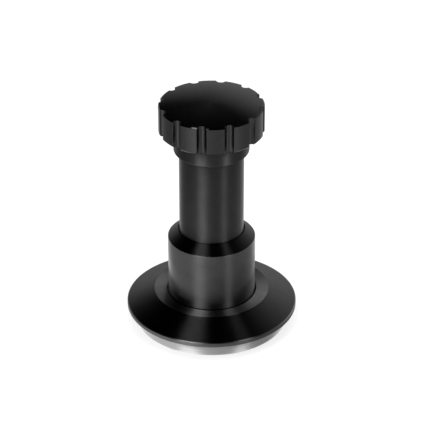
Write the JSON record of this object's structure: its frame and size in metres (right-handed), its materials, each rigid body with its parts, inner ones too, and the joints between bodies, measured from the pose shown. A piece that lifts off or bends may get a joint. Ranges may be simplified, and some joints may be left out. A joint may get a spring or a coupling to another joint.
{
  "type": "espresso tamper",
  "caption": "Hand tamper for espresso baskets: rippled steel base, spring-returned conical levelling flange, telescoping handle with an internal striking mechanism and a fluted force knob.",
  "frame": {"origin": "centre of the tamping face, on the surface the base stands on", "axes": "+Z along the handle, from the tamping face to the knob; -Y is the front"},
  "size_m": [0.0594, 0.0594, 0.0847],
  "materials": {
    "black_anodised": "satin black anodised",
    "polished_steel": "turned and polished",
    "hardened_steel": "ground",
    "spring_steel": "drawn wire",
    "bronze": "machined",
    "acetal": "machined black acetal",
    "seal_rubber": "moulded"
  },
  "bodies": {
    "base": {"tamping_base": "polished_steel", "stem": "polished_steel", "anvil_collar": "hardened_steel", "trip_pin": "hardened_steel", "reset_spring": "spring_steel"},
    "leveller": {"levelling_flange": "black_anodised", "lower_sleeve": "black_anodised", "sleeve_screws": "hardened_steel", "guide_bush": "acetal", "stem_seal": "seal_rubber", "level_spring": "spring_steel"},
    "handle": {"handle_tube": "black_anodised", "tube_circlip": "spring_steel", "end_plug": "bronze", "cam_sleeve": "hardened_steel", "handle_collar": "black_anodised", "knob_friction_ring": "seal_rubber", "thrust_washer": "bronze", "main_spring": "spring_steel"},
    "force_knob": {"knob": "black_anodised", "adjuster_spindle": "hardened_steel", "knob_grub_screw": "hardened_steel"},
    "preload": {"preload_nut": "bronze"},
    "striker": {"hammer": "hardened_steel", "trip_spring": "spring_steel"},
    "trip": {"trip_block": "hardened_steel"}
  },
  "joints": [
    {"name": "handle_press", "type": "slide", "parent": "base", "child": "handle", "axis": [0, 0, -1], "range_m": [0, 0.006], "stiffness_N_per_m": 12500, "springref_m": -0.004},
    {"name": "level_slide", "type": "slide", "parent": "base", "child": "leveller", "axis": [0, 0, 1], "range_m": [0, 0.009], "stiffness_N_per_m": 480, "springref_m": -0.01, "deforming": ["level_spring"]},
    {"name": "knob_turn", "type": "hinge", "parent": "handle", "child": "force_knob", "pos_m": [0, 0, 0.079], "axis": [0, 0, -1], "range_deg": [0, 720]},
    {"name": "preload_slide", "type": "slide", "parent": "handle", "child": "preload", "axis": [0, 0, -1], "range_m": [0, 0.003]},
    {"name": "hammer_lift", "type": "slide", "parent": "handle", "child": "striker", "axis": [0, 0, 1], "range_m": [0, 0.006], "deforming": ["main_spring"]},
    {"name": "trip_shift", "type": "slide", "parent": "striker", "child": "trip", "axis": [-1, 0, 0], "range_m": [0, 0.001], "deforming": ["trip_spring"]}
  ],
  "couplings": [
    {"joint": "preload_slide", "follows": "knob_turn", "m_per_rad": 0.00023873},
    {"joint": "hammer_lift", "follows": "handle_press", "ratio": 1},
    {"joint": "trip_shift", "follows": "handle_press", "ratio": 0.16667}
  ]
}
